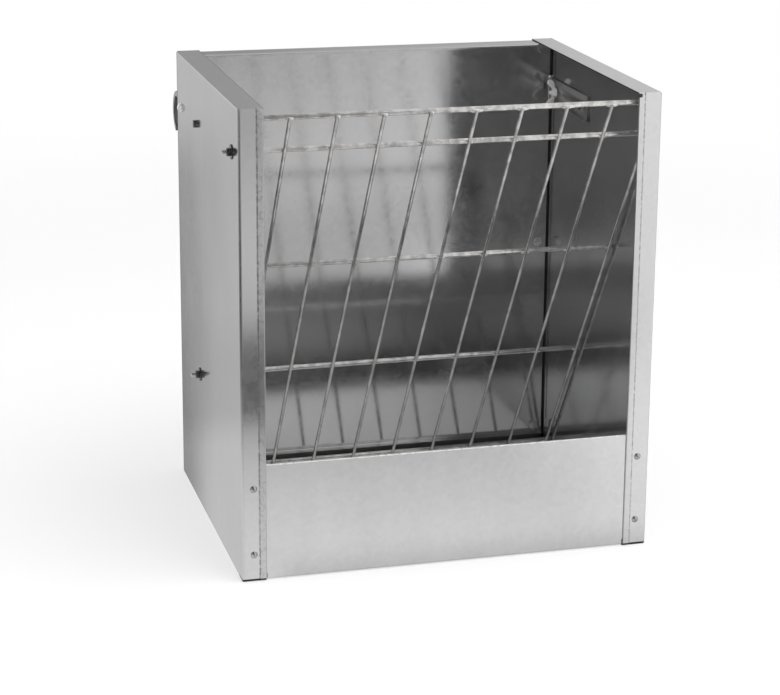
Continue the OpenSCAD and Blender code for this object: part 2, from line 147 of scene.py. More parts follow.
def copyTo(model, name, place, turn):
    # a copy with its own mesh, turned and moved to its place, with the place in the mesh
    piece = bpy.data.objects.new(name, model.data.copy())
    bpy.context.scene.collection.objects.link(piece)
    onlyThis(piece)
    piece.rotation_euler = turn
    piece.location = place
    bpy.ops.object.transform_apply(location=True, rotation=True, scale=True)
    return piece


def joined(name, pieces):
    onlyThis(pieces[0])
    for piece in pieces[1:]:
        piece.select_set(True)
    if len(pieces) > 1:
        bpy.ops.object.join()
    pieces[0].name = name
    return pieces[0]


def throwAway(*pieces):
    for piece in pieces:
        bpy.data.objects.remove(piece, do_unlink=True)


def fit(piece, body, slot, finish, *replaced):
    # gives a piece its finish, ties it to the body and hides the nodes that it stands for
    piece.data.materials.clear()
    piece.data.materials.append(finish)
    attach(piece, body)
    if replaced:
        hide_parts(*replaced)
    return piece


def middleOf(node):
    low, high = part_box(node)
    return (low + high) / 2


# Finishes

class Tone:
    # one socket of a finish; sums on it add Math nodes
    def __init__(self, finish, socket):
        self.finish = finish
        self.socket = socket

    def sum(self, kind, first, second):
        return self.finish.add("ShaderNodeMath", {"operation": kind}, {0: first, 1: second})

    def __add__(self, other):
        return self.sum("ADD", self, other)

    def __radd__(self, other):
        return self.sum("ADD", other, self)

    def __sub__(self, other):
        return self.sum("SUBTRACT", self, other)

    def __rsub__(self, other):
        return self.sum("SUBTRACT", other, self)

    def __mul__(self, other):
        return self.sum("MULTIPLY", self, other)

    def most(self, other):
        return self.sum("MAXIMUM", self, other)

    def least(self, other):
        return self.sum("MINIMUM", self, other)


def grey(value, warm=0.0):
    return (value * (1 + warm), value, value * (1 - warm), 1.0)


class Finish:
    # a material or a world, and the nodes that it is built from
    def __init__(self, name, owner=None):
        self.material = owner or bpy.data.materials.new(name)
        self.material.use_nodes = True
        self.tree = self.material.node_tree
        self.tree.nodes.clear()

    def add(self, kind, settings=None, inputs=None, output=0):
        node = self.tree.nodes.new(kind)
        for key, value in (settings or {}).items():
            if key == "stops":
                marks = node.color_ramp.elements
                marks[0].position, marks[1].position = value[0][0], value[-1][0]
                marks[0].color, marks[1].color = value[0][1], value[-1][1]
                for at, colour in value[1:-1]:
                    marks.new(at).color = colour
            else:
                setattr(node, key, value)
        for key, value in (inputs or {}).items():
            if isinstance(value, Tone):
                self.tree.links.new(value.socket, node.inputs[key])
            else:
                node.inputs[key].default_value = value
        return Tone(self, node.outputs[output])

    def place(self):
        return self.add("ShaderNodeTexCoord", output="Object")

    def axesOf(self, place):
        return {axis: self.add("ShaderNodeSeparateXYZ", {}, {0: place}, axis.upper())
                for axis in "xyz"}

    def noise(self, place, scale, detail, roughness=0.5):
        return self.add("ShaderNodeTexNoise", {}, {"Vector": place, "Scale": scale,
                                                   "Detail": detail, "Roughness": roughness})

    def swing(self, noise, amount):
        # a noise round its middle
        return (noise - 0.5) * amount

    def blend(self, factor, first, second):
        return self.add("ShaderNodeMix", {"data_type": "RGBA"},
                        {0: factor, 6: first, 7: second}, 2)

    def mix(self, factor, first, second):
        return self.add("ShaderNodeMix", {}, {0: factor, 2: first, 3: second})

    def share(self, value, low, high, **settings):
        return self.add("ShaderNodeMapRange", settings, {"Value": value, "From Min": low,
                                                         "From Max": high, "To Min": 0.0,
                                                         "To Max": 1.0})

    def step(self, value, low, high):
        # 0 below low, 1 above high, smooth between them
        return self.share(value, low, high, interpolation_type="SMOOTHSTEP")

    def area(self, axes, limits):
        # 1 inside all the limits: (axis, kind, from where, start and end in mm, softness)
        whole = 1.0
        for axis, kind, base, start, end, *softness in limits:
            value, low, high = axes[axis], base + start * mm, base + end * mm
            if kind == "above":
                inside = self.step(value, low, high)
            elif kind == "below":
                inside = 1.0 - self.step(value, low, high)
            else:
                soft = (softness or [0.2])[0] * mm
                inside = (self.step(value, low - soft, low + soft)
                          * (1.0 - self.step(value, high - soft, high + soft)))
            whole = inside * whole
        return whole

    def along(self, value, stops):
        # a tone that runs through (value, grey) pairs
        low, high = stops[0][0], stops[-1][0]
        marks = [((at - low) / (high - low), grey(tone)) for at, tone in stops]
        return self.add("ShaderNodeValToRGB", {"stops": marks}, {0: self.share(value, low, high)})

    def seenRays(self):
        # 1 for what is seen, straight or in the metal; 0 for the light that falls on things
        rays = [self.add("ShaderNodeLightPath", output=key)
                for key in ("Is Camera Ray", "Is Glossy Ray", "Is Transmission Ray")]
        return rays[0].most(rays[1]).most(rays[2])

    def done(self, shader, kind="ShaderNodeOutputMaterial"):
        node = self.tree.nodes.new(kind)
        self.tree.links.new(shader.socket, node.inputs["Surface"])
        return self.material

    def surface(self, height, inputs):
        # height: the bump in metres
        bump = self.add("ShaderNodeBump", {}, {"Strength": 1.0, "Distance": 1.0, "Height": height})
        return self.done(self.add("ShaderNodeBsdfPrincipled", {}, dict(inputs, Normal=bump)))


panelLow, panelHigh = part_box("left_side_panel")
frontY, backY, topZ = panelLow.y, panelHigh.y, panelHigh.z
wallX = -panelLow.x
postWidth = 27.0
postEdge = wallX - postWidth * mm                        # inner edges of the posts and flanges

# Parts of the sheets with a look of their own: their limits, as Finish.area reads them
sheetAreas = {
    "hem": [("y", "below", frontY, 0.4, 0.7), ("across", "within", postEdge, 0.5, 7.1)],
    "hemCutEdge": [("y", "below", frontY, 1.6, 3), ("across", "within", postEdge, 6.6, 8.4, 0.5)],
    "hemFold": [("y", "below", frontY, 1.6, 3), ("across", "within", postEdge, -0.4, 0.9, 0.4)],
    "rightHalf": [("x", "above", 0, -10, 10)],
    "rearCorner": [("across", "above", wallX, -3.4, -2.9), ("y", "above", backY, -4.5, -3.5)],
    "postFoot": [("y", "below", frontY, 16, 20), ("z", "below", 0, 2.8, 3.6),
                 ("across", "above", postEdge, -1, 0)],
    "topFlangeEdge": [("z", "above", topZ, -1.6, -0.9), ("across", "within", postEdge, -0.6, 0.4)],
    "underBack": [("y", "within", backY, -19, -1.2, 0.4), ("z", "below", 0, 13.2, 14.2),
                  ("across", "below", wallX, -1.2, -0.6)],
    "leftFrontBend": [("x", "below", -wallX, 2, 3.6), ("y", "below", frontY, 3, 5)],
    "upperBox": [("z", "above", 0, 100, 350)],
    "backFold": [("y", "above", backY, -32, -30), ("z", "above", topZ, -4, -3),
                 ("across", "below", postEdge, -1, 0)],
    "trayWallInside": [("y", "within", frontY, 2.7, 4.8), ("z", "within", 0, 3, 131.5),
                       ("across", "below", wallX, -3, -2.4)],
    "floorFront": [("z", "below", 0, 2.4, 3.4), ("y", "within", frontY, 6, 90, 12),
                   ("across", "below", wallX, -3, -2)],
    # the dull tray floor and tray edge, painted paler as painted light
    "wornLitFloor": [("z", "below", 0, 2.4, 3.4), ("y", "above", frontY, 60, 120),
                  ("y", "below", backY, -22, -20), ("across", "below", wallX, -3, -2)],
    "rubbedLitTrayEdge": [("z", "above", 0, 131.2, 132.2), ("z", "below", 0, 133.4, 134),
                       ("y", "below", frontY, 6, 7), ("across", "below", postEdge, -1, 0)],
}

sheetLook = {
    "dark": 0.64, "light": 0.76, "metallic": 0.96, "roughness": 0.13, "grazing": 0.75,
    "rolling": (34.0, 34.0, 3.0), "streak": 0.5, "bloom": 0.5, "bloomRoughness": 0.08,
    "spangleScale": 170.0, "spangle": 0.22, "spangleRoughness": 0.03, "spangleHeight": 0.000006,
    "waveScale": 5.5, "waveHeight": 0.0007, "grainHeight": 0.00001,
    # the dark tone of the painted shade and of the hems' dirt, and the roughness they add
    "shadeAndDirt": 0.05, "shadeAndDirtRoughness": 0.3, "hemShade": 0.13, "hemSpecks": 0.16, "rightHemLighter": 0.75,
    "cutEdge": 0.5, "foldEdge": 0.25, "bendFoot": 0.25,
    # the pale tone is painted light on the dull tray floor and tray edge
    "paintedLightTone": 0.93, "wornDullness": 0.94, "wornRoughness": 0.25, "rubbedLitShare": 0.6,
}

# how much painted shade each part gets: dark corners, seams, slots and recesses where shade falls
paintedShadeShares = {"rearCorner": 1.0, "postFoot": 1.0, "topFlangeEdge": 1.0, "underBack": 0.85,
            "leftFrontBend": 0.3, "backFold": 0.14, "trayWallInside": 0.32, "floorFront": 0.35}


def galvanisedSheet(name, look):
    # rolled sheet with a bright zinc coat: soft streaks, a faint spangle, slow waves
    f = Finish(name)
    place = f.place()
    axes = f.axesOf(place)
    axes["across"] = f.add("ShaderNodeMath", {"operation": "ABSOLUTE"}, {0: axes["x"]})
    area = {key: f.area(axes, limits) for key, limits in sheetAreas.items()}
    rolled = f.add("ShaderNodeMapping", {}, {"Vector": place, "Scale": look["rolling"]})
    streaks = f.noise(rolled, 1.0, 4.0, 0.55)
    grain = f.noise(rolled, 30.0, 2.0)
    cells = f.add("ShaderNodeTexVoronoi", {}, {"Vector": place, "Scale": look["spangleScale"]},
                  "Color")
    spangle = f.add("ShaderNodeSeparateColor", {}, {0: cells})
    bloom = f.noise(place, 16.0, 6.0, 0.6)
    waves = f.noise(place, look["waveScale"], 1.0, 0.4)
    specks = f.noise(place, 210.0, 3.0, 0.7)
    tone = (0.5 + f.swing(streaks, look["streak"]) + f.swing(spangle, look["spangle"])
            + f.swing(bloom, look["bloom"]))
    clean = f.blend(tone, grey(look["dark"]), grey(look["light"]))
    # the folded hems of the posts are darker, above all on the left, with dirty specks; the dark
    # line along the cut edge, broken up by the specks, and the one along the fold are painted
    # shade
    hemTone = look["hemShade"] + f.step(specks, 0.45, 0.7) * look["hemSpecks"]
    hemDarkening = area["hem"] * hemTone * (1.0 - area["rightHalf"] * look["rightHemLighter"])
    cutEdgeShade = area["hemCutEdge"] * f.step(specks, 0.3, 0.62) * look["cutEdge"]
    shadeAndDirt = hemDarkening.most(cutEdgeShade).most(area["hemFold"] * look["foldEdge"])
    # painted shade in the rear corners, under the post feet, along the top flanges' inner edges,
    # under the back panel's foot, on the left front bend (weaker low down), on the back panel's
    # top fold and inside the tray
    fade = look["bendFoot"] + area["upperBox"] * (1 - look["bendFoot"])
    area["leftFrontBend"] = area["leftFrontBend"] * fade
    for key, share in paintedShadeShares.items():
        shadeAndDirt = shadeAndDirt.most(area[key] * share)
    shadeAndDirt = shadeAndDirt.least(1.0)
    # the tray floor and the folded top edge of the tray wall are dull, and painted paler than the
    # zinc: painted light for the light that falls into the tray and onto its edge
    wearAndPaintedLight = area["wornLitFloor"].most(area["rubbedLitTrayEdge"] * look["rubbedLitShare"])
    paintedLightColour = f.blend(wearAndPaintedLight, clean, grey(look["paintedLightTone"]))
    rough = (look["roughness"] + f.swing(bloom, look["bloomRoughness"])
             + f.swing(spangle, look["spangleRoughness"]) + shadeAndDirt * look["shadeAndDirtRoughness"]
             + wearAndPaintedLight * look["wornRoughness"])
    height = (waves * look["waveHeight"] + grain * look["grainHeight"]
              + spangle * look["spangleHeight"])
    # the colour is darkened towards one dark tone by the painted shade and the hems' dirty specks
    return f.surface(height, {"Base Color": f.blend(shadeAndDirt, paintedLightColour, grey(look["shadeAndDirt"])),
                              "Metallic": look["metallic"] - wearAndPaintedLight * look["wornDullness"],
                              "Roughness": rough, "Specular Tint": grey(look["grazing"])})


def zincMetal(name, look):
    # drawn wire, rods and fasteners: fine pits, dull and bright patches
    f = Finish(name)
    place = f.place()
    patches = f.noise(place, look["patchScale"], 5.0, 0.6)
    pits = f.noise(place, look["pitScale"], 3.0, 0.6)
    colour = f.blend(f.step(patches, 0.3, 0.7), grey(look["dark"], look["warm"]),
                     grey(look["light"], look["warm"]))
    rough = (look["roughness"] + f.swing(patches, look["patchRoughness"])
             + f.swing(pits, look["pitRoughness"]))
    height = pits * look["pitHeight"] + patches * look["patchHeight"]
    return f.surface(height, {"Base Color": colour, "Metallic": look["metallic"],
                              "Roughness": rough})


wireLook = {"patchScale": 60.0, "patchRoughness": 0.16, "patchHeight": 0.00002,
            "pitScale": 500.0, "pitRoughness": 0.1, "pitHeight": 0.00001,
            "dark": 0.38, "light": 0.68, "warm": 0.012, "roughness": 0.16, "metallic": 0.82}
# what the other metals have different from the wire
zincLooks = {
    "galvanisedWire": {},
    "galvanisedRod": dict(patchScale=110.0, dark=0.46, light=0.78, warm=0.018, roughness=0.2,
                          metallic=0.8, patchHeight=0.000012),
    "weldBead": dict(patchScale=300.0, dark=0.7, light=0.9, roughness=0.3, metallic=0.8,
                     patchHeight=0.0001),
    "hookSteel": dict(patchScale=40.0, dark=0.34, light=0.4, warm=0.0, roughness=0.32,
                      metallic=0.98),
    # a darker copy of the hook's finish for its cut edges and rib: painted shade
    "hookShadedFaces": dict(patchScale=90.0, dark=0.14, light=0.26, warm=0.0, roughness=0.4),
    "dullBolt": dict(patchScale=40.0, dark=0.36, light=0.42, warm=0.0, roughness=0.3,
                     metallic=0.98),
    # near-black zinc for the tie rods' washers and nuts and the hook fixing bolts
    "nearBlackZinc": dict(patchScale=200.0, dark=0.06, light=0.22, warm=0.0, roughness=0.22),
    "zincFastener": dict(patchScale=200.0, dark=0.62, light=0.78, warm=0.0, roughness=0.2),
    "castWingNut": dict(patchScale=200.0, dark=0.86, light=0.98, warm=0.0, metallic=0.25),
    "rivetAluminium": dict(patchScale=200.0, dark=0.4, light=0.56, warm=0.0, roughness=0.1,
                           metallic=1.0),
}

sheetFinish = galvanisedSheet("galvanisedSheet", sheetLook)
zinc = {name: zincMetal(name, dict(wireLook, **change)) for name, change in zincLooks.items()}
print("stage: finishes made")

for node in nodes.values():
    node.data.materials.clear()
    node.data.materials.append(sheetFinish)


# Hay grid: five rods and ten sloping wires in front of them

# rod, wire and thread are radii, all in mm
gridSizes = {"rod": 3.0, "wire": 2.0, "endRound": 0.5, "wireOffset": 4.7, "wireOver": 2.0,
             "thread": 2.5, "threadDepth": 0.35, "pitch": 0.8, "threadLength": 9.0,
             "shoulder": 231.9, "shoulderCut": 0.3, "weldSink": 0.3}
# the tip's cut, the distance to the first groove, and where the crest starts and ends in one pitch
threadShape = {"tipIn": 0.3, "tipLength": 0.4, "start": 0.6, "crest": (0.35, 0.5), "root": 0.9}

rodNames = ["top_rod", "upper_tie_rod", "middle_rod", "lower_tie_rod", "bottom_rod"]
rodPlace = {name: middleOf(name) for name in rodNames}
gridLine = rodPlace["bottom_rod"] - rodPlace["top_rod"]
slope = gridLine.normalized()
outward = Vector((0, slope.z, -slope.y))                 # from the rods to the wires


def mirrored(lower):
    # a profile's lower half, and its mirror image above it
    return lower + [(r, -h) for r, h in reversed(lower)]


def plainBarProfile(radius, length, rounding):
    half, cut = length / 2, rounding * 0.3
    return mirrored([(0, -half), (radius - rounding, -half), (radius - cut, -half + cut),
                     (radius, -half + rounding)])


def threadProfile(length, crest, depth, pitch):
    # (radius, distance from the tip) of one threaded end
    root = crest - depth
    points = [(0, 0), (root - threadShape["tipIn"], 0), (root, threadShape["tipLength"])]
    at = threadShape["start"]
    while at + pitch < length:
        points += [(crest, at + pitch * share) for share in threadShape["crest"]]
        points.append((root, at + pitch * threadShape["root"]))
        at += pitch
    return points


def tieRodProfile(half, sizes):
    radius, cut, shoulder = sizes["rod"], sizes["shoulderCut"], sizes["shoulder"]
    thread, threaded = sizes["thread"], sizes["threadLength"]
    end = threadProfile(threaded, thread, sizes["threadDepth"], sizes["pitch"])
    plain = [(thread, -half + threaded), (thread, -shoulder), (radius - cut, -shoulder),
             (radius, -shoulder + cut)]
    return mirrored([(r, -half + distance) for r, distance in end] + plain)


for name in rodNames:
    low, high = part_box(name)
    half = (high.x - low.x) / 2 / mm
    if "tie" in name:
        profile = tieRodProfile(half, gridSizes)
    else:
        profile = plainBarProfile(gridSizes["rod"], 2 * half, gridSizes["endRound"])
    model = turned("barModel", profile, 32)
    rod = copyTo(model, name + "_bar", rodPlace[name], (0, quarter, 0))
    throwAway(model)
    fit(rod, "feeder", "galvanised_wire", zinc["galvanisedRod"], name)

wireLength = gridLine.length / mm + 2 * gridSizes["wireOver"]
wireProfile = plainBarProfile(gridSizes["wire"], wireLength, gridSizes["endRound"])
wireModel = turned("wireModel", wireProfile, 20)
gridMiddle = ((rodPlace["bottom_rod"] + rodPlace["top_rod"]) / 2
              + outward * gridSizes["wireOffset"] * mm)
wireTurn = Vector((0, 0, 1)).rotation_difference(slope).to_euler()
wireXs = []
for index in range(1, 11):
    name = "hay_wire_%d" % index
    x = middleOf(name).x
    wireXs.append(x)
    wire = copyTo(wireModel, name + "_bar", (x, gridMiddle.y, gridMiddle.z), wireTurn)
    fit(wire, "feeder", "galvanised_wire", zinc["galvanisedWire"], name)
throwAway(wireModel)

# length along the rod, width and depth of its weld beads, as radii in mm
beadSizes = {"top_rod": (7.0, 2.5, 2.0), "upper_tie_rod": (4.6, 1.7, 1.5),
             "middle_rod": (5.0, 1.8, 1.6), "lower_tie_rod": (4.4, 1.6, 1.5),
             "bottom_rod": (5.0, 1.8, 1.6)}
beadStretch = (0.45, 0.6, 1.0, 1.15)                     # two short models, two long ones
beadLumps = 0.00045
beadShift, wallShift, nudgeStep = 0.8 * mm, 2.0 * mm, 0.3 * mm


def beadModel(size, stretch, seed):
    length, across, deep = size
    startClean()
    bpy.ops.mesh.primitive_uv_sphere_add(segments=14, ring_count=9, radius=mm, location=(0, 0, 0),
                                         rotation=(0, quarter, 0))
    bead = bpy.context.object
    bpy.ops.object.transform_apply(location=True, rotation=True, scale=True)
    bpy.ops.object.mode_set(mode="EDIT")
    bpy.ops.mesh.select_all(action="SELECT")
    bpy.ops.transform.resize(value=(length * stretch, across, deep), center_override=(0, 0, 0))
    bpy.ops.transform.vertex_random(offset=beadLumps, uniform=0.0, normal=0.0, seed=seed)
    bpy.ops.object.mode_set(mode="OBJECT")
    finishWith(bead, "SUBSURF", levels=1, render_levels=1)
    bpy.ops.object.shade_smooth()
    return bead


for rodIndex, name in enumerate(rodNames):
    models = [beadModel(beadSizes[name], stretch, kind * 5 + rodIndex)
              for kind, stretch in enumerate(beadStretch)]
    seat = rodPlace[name] + outward * (gridSizes["rod"] - gridSizes["weldSink"]) * mm
    beads = []
    for index, x in enumerate(wireXs):
        # short beads on the left half and on the outermost wires, there set in from the walls
        outermost = index in (0, len(wireXs) - 1)
        firstModel = 0 if x < 0 or outermost else 2
        inward = (wallShift if x < 0 else -wallShift) if outermost else beadShift
        nudge = ((index * 7 + rodIndex * 3) % 5 - 2) * nudgeStep
        turn = (wireTurn[0] + math.pi * ((index * 3) % 2), 0, math.pi * (index % 2))
        beads.append(copyTo(models[firstModel + (index + rodIndex) % 2], "bead",
                            (x + nudge + inward, seat.y, seat.z), turn))
    throwAway(*models)
    fit(joined(name + "_welds", beads), "feeder", "galvanised_wire", zinc["weldBead"])
print("stage: hay grid made")


# Fasteners

hexShare = math.cos(math.pi / 6)                         # a hexagon's half flats by its corners
# the cone that turns a hexagon's corners off: shares for its end and its rise, and its clearances
hexCone = {"flat": 0.95, "rise": 0.58, "clear": 1.01, "past": 0.001}
hexEdge = {"width": 0.12, "angle": 25}
boltThread = {"depth": 0.3, "pitch": 0.8}

# hexagons: flats, height and bore radius; washer: radius, thickness and hole radius;
# shanks: radius, length and threaded length; wing bolt's head: radius and height
fastenerSizes = {
    "tieNut": (8.0, 4.0, 2.45), "tieWasher": (8.0, 1.2, 2.75),
    "backHead": (10.0, 4.0), "backNut": (10.0, 4.0, 2.95), "backRadius": 3.0, "backThreaded": 6.4,
    "fixingHead": (8.0, 4.0), "fixingNut": (8.0, 4.0, 2.45), "fixingShank": (2.5, 10.0, 7.0),
    "wingHead": (5.5, 5.0), "wingShank": (2.5, 12.8, 9.0),
}
sheetThickness, hookPlate = 1.0, 2.5
plateFace = wallX - (sheetThickness + hookPlate) * mm    # inner faces of the hook plates


def hexBlank(name, flats, height, bore=0.0, bothEnds=True):
    # hexagon with its corners turned off, standing on z = 0
    corner = flats / 2 / hexShare
    startClean()
    bpy.ops.mesh.primitive_cylinder_add(vertices=6, radius=corner * mm, depth=height * mm,
                                        location=(0, 0, height / 2 * mm))
    blank = bpy.context.object
    blank.name = name
    bpy.ops.object.transform_apply(location=True, rotation=True, scale=True)
    flat, outer, past = flats / 2 * hexCone["flat"], corner * hexCone["clear"], hexCone["past"]
    rise = (corner - flat) * hexCone["rise"]
    lower = [(flat, -past), (outer, rise)] if bothEnds else [(outer, 0.0)]
    upper = [(outer, height - rise), (flat, height + past), (0, height + past)]
    cutter = turned("cutter", [(0, -past)] + lower + upper, 48)
    finishWith(blank, "BOOLEAN", operation="INTERSECT", object=cutter, solver="EXACT")
    throwAway(cutter)
    if bore:
        drill = turned("drill", [(0, -1), (bore, -1), (bore, height + 1), (0, height + 1)], 32)
        finishWith(blank, "BOOLEAN", operation="DIFFERENCE", object=drill, solver="EXACT")
        throwAway(drill)
    return softEdges(blank, **hexEdge)


def threadedShank(name, radius, length, threaded):
    # bolt shank from z = 0 up to its tip, threaded over its last part
    end = threadProfile(threaded, radius, **boltThread)
    plain = [(radius, length - threaded), (radius, 0), (0, 0)]
    return turned(name, [(r, length - distance) for r, distance in end] + plain, 28)


def domeArc(radius, height, inner, steps):
    # points over a dome, from its rim in to the inner radius
    ball = (radius ** 2 + height ** 2) / (2 * height)
    start, end = math.asin(radius / ball), math.asin(inner / ball)
    angles = [start + (end - start) * (i / steps) for i in range(1, steps + 1)]
    return [(ball * math.sin(angle), height - ball + ball * math.cos(angle)) for angle in angles]


def domeHead(name, radius, height, rim=0.15):
    base = [(0, 0), (radius - rim, 0), (radius, rim)]
    return turned(name, base + domeArc(radius, height, 0.0, 9), 40)


def washer(name, radius, thick, hole):
    inner, outer, lift = 0.1, 0.3, 0.25                  # cuts at the hole and the rim, rim's rise
    profile = [(hole, inner), (hole + inner, 0), (radius - outer, 0), (radius, lift),
               (radius, thick - outer), (radius - outer, thick), (hole + inner, thick),
               (hole, thick - inner), (hole, inner)]
    return turned(name, profile, 48)


def wallBolts(head, shank, middle):
    # one bolt through each side wall, its head outside
    pieces = []
    for side in (-1, 1):
        place = (side * wallX, middle.y, middle.z)
        pieces.append(copyTo(head, "head", place, (0, side * quarter, 0)))
        pieces.append(copyTo(shank, "shank", place, (0, -side * quarter, 0)))
    throwAway(head, shank)
    return pieces


def fitFasteners(name, pieces, finish, node):
    return fit(joined(name, pieces), "feeder", "zinc_fastener", zinc[finish], node)


# Washers and nuts on the tie rods' ends, outside the walls
tieNut = hexBlank("tieNutModel", *fastenerSizes["tieNut"])
tieWasher = washer("tieWasherModel", *fastenerSizes["tieWasher"])
nutX = wallX + fastenerSizes["tieWasher"][1] * mm
nuts, washers = [], []
for name in ("upper_tie_rod", "lower_tie_rod"):
    y, z = rodPlace[name].yz
    for side in (-1, 1):
        washers.append(copyTo(tieWasher, "washer", (side * wallX, y, z), (0, side * quarter, 0)))
        nuts.append(copyTo(tieNut, "nut", (side * nutX, y, z), (0, side * quarter, 0)))
throwAway(tieNut, tieWasher)
fitFasteners("tie_rod_washers_turned", washers, "nearBlackZinc", "tie_rod_washers")
fitFasteners("tie_rod_nuts_chamfered", nuts, "nearBlackZinc", "tie_rod_nuts")

# Back panel bolts: heads inside, nuts behind the rear flanges
lowBolt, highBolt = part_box("back_panel_bolts")
headFlats, headHeight = fastenerSizes["backHead"]
headFace = lowBolt.y + headHeight * mm
boltX = highBolt.x - headFlats / 2 * mm / hexShare
lowZ, highZ = lowBolt.z + headFlats / 2 * mm, highBolt.z - headFlats / 2 * mm
shankLength = (highBolt.y - headFace) / mm
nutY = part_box("back_panel_nuts")[0].y
head = hexBlank("headModel", *fastenerSizes["backHead"], bothEnds=False)
shank = threadedShank("shankModel", fastenerSizes["backRadius"], shankLength,
                      fastenerSizes["backThreaded"])
nut = hexBlank("nutModel", *fastenerSizes["backNut"])
bolts, nuts = [], []
for x in (-boltX, boltX):
    for z in (lowZ, (lowBolt.z + highBolt.z) / 2, highZ):
        bolts.append(copyTo(head, "head", (x, headFace, z), (quarter, 0, 0)))
        bolts.append(copyTo(shank, "shank", (x, headFace, z), (-quarter, 0, 0)))
        nuts.append(copyTo(nut, "nut", (x, nutY, z), (-quarter, 0, 0)))
throwAway(head, shank, nut)
bolts = fitFasteners("back_panel_bolts_threaded", bolts, "zincFastener", "back_panel_bolts")
bolts.data.materials.append(zinc["dullBolt"])            # the top pair is darker and rougher
topPair = highZ - 20 * mm
for face in bolts.data.polygons:
    face.material_index = int(face.center.z > topPair)
fitFasteners("back_panel_nuts_chamfered", nuts, "zincFastener", "back_panel_nuts")

# Hook fixings: a hexagon bolt at the front of each plate, and a round-headed one for the wing nut
fixing = middleOf("hook_fixing_bolts")
nut = hexBlank("nutModel", *fastenerSizes["fixingNut"])
bolts = wallBolts(hexBlank("headModel", *fastenerSizes["fixingHead"], bothEnds=False),
                  threadedShank("shankModel", *fastenerSizes["fixingShank"]), fixing)
nuts = [copyTo(nut, "nut", (side * plateFace, fixing.y, fixing.z), (0, -side * quarter, 0))
        for side in (-1, 1)]
throwAway(nut)
fitFasteners("hook_fixing_bolts_threaded", bolts, "nearBlackZinc", "hook_fixing_bolts")
fitFasteners("hook_fixing_nuts_chamfered", nuts, "zincFastener", "hook_fixing_nuts")

wingPlace = middleOf("hook_wing_bolts")
bolts = wallBolts(domeHead("headModel", *fastenerSizes["wingHead"]),
                  threadedShank("shankModel", *fastenerSizes["wingShank"]), wingPlace)
fitFasteners("hook_wing_bolts_domed", bolts, "castWingNut", "hook_wing_bolts")

# mm; topShare and lobeShare are shares of the hub and of the wing's height
wingNutSizes = {"hub": 11.0, "topShare": 0.42, "hubHeight": 6.5, "bore": 2.55, "span": 33.0,
                "wingHeight": 12.0, "lobeShare": 0.32, "wingThickness": 2.5, "wingRounding": 0.8}
# where a wing leaves the hub, below and above, as shares of the hub's radius and height
wingRoot = [(0.68, 0.1), (0.9, 0.1), (1.25, 0.32)]
wingShoulder = [(1.12, 1.02), (0.68, 0.88)]


def hubProfile(foot, top, high, bore, cut=0.4):
    return [(bore, cut), (bore + cut, 0), (foot - 0.5, 0), (foot, 0.5), (top + 0.1, high - 0.9),
            (top - 0.8, high), (bore + cut, high), (bore, high - cut), (bore, cut)]


def wingNut(name, sizes):
    # tapered hub with a bore, and two rounded wings across X
    hub, high = sizes["hub"] / 2, sizes["hubHeight"]
    body = turned(name, hubProfile(hub, sizes["hub"] * sizes["topShare"], high, sizes["bore"]), 40)
    lobe = sizes["lobeShare"] * sizes["wingHeight"]
    lobeX, lobeZ = sizes["span"] / 2 - lobe, sizes["wingHeight"] - lobe
    turns = [math.radians(-62 + i * 14.5) for i in range(15)]
    outline = [(hub * across, high * up) for across, up in wingRoot]
    outline.append((lobeX - lobe * 0.1, lobeZ - lobe * 1.25))
    outline += [(lobeX + lobe * math.cos(turn), lobeZ + lobe * math.sin(turn)) for turn in turns]
    outline.append((lobeX - lobe * 1.2, lobeZ + lobe * 0.12))
    outline += [(hub * across, high * up) for across, up in wingShoulder]
    wing = plate("wing", outline, sizes["wingThickness"])
    softEdges(wing, sizes["wingRounding"], 50, segments=3)
    other = copyTo(wing, "otherWing", (0, 0, 0), (0, 0, math.pi))
    return joined(name, [body, wing, other])


wingModel = wingNut("wingModel", wingNutSizes)
nutSeat = plateFace - 0.3 * mm
for side, name in ((-1, "left_hook_wing_nut"), (1, "right_hook_wing_nut")):
    nut = copyTo(wingModel, name + "_cast", (side * nutSeat, wingPlace.y, wingPlace.z),
                 (0, -side * quarter, 0))
    fit(nut, name, "zinc_fastener", zinc["castWingNut"], name)
throwAway(wingModel)

# radii and heights in mm over the post's face, those of the broken mandrel over the pit's floor
rivetSizes = {"head": 4.0, "height": 2.2, "rimIn": 0.1, "rim": 0.12, "pit": 1.1, "pitIn": 0.12,
              "pitDepth": 0.8}
rivetBulb = [(0, -5.4), (1.6, -5.4), (2.6, -5.0), (3.1, -4.2), (3.1, -3.0), (2.0, -2.2), (2.0, 0)]
rivetMandrel = [(0.75, 0), (0.7, 0.35), (0.45, 0.5), (0, 0.52)]


def blindRivet(name, sizes):
    # domed head with a pit and the broken mandrel in it; z points out of the post, 0 at its face
    head = sizes["head"]
    dome = domeArc(head, sizes["height"], sizes["pit"], 7)
    pitFloor = dome[-1][1] - sizes["pitDepth"]
    profile = rivetBulb + [(head - sizes["rimIn"], 0), (head, sizes["rim"])] + dome
    profile.append((sizes["pit"] - sizes["pitIn"], pitFloor))
    profile += [(r, pitFloor + h) for r, h in rivetMandrel]
    return turned(name, profile, 36)


rivetModel = blindRivet("rivetModel", rivetSizes)
rivetLow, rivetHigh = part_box("front_rivets")
headRadius = rivetSizes["head"] * mm
rivetX = rivetHigh.x - headRadius
rivetFace = rivetLow.y + rivetSizes["height"] * mm
rivets = [copyTo(rivetModel, "rivet", (x, rivetFace, z), (quarter, 0, 0))
          for x in (-rivetX, rivetX) for z in (rivetLow.z + headRadius, rivetHigh.z - headRadius)]
throwAway(rivetModel)
fit(joined("front_rivets_domed", rivets), "feeder", "rivet_metal", zinc["rivetAluminium"],
    "front_rivets")
print("stage: fasteners made")


# Hanging hooks: the frame's own shape with its cut edges broken

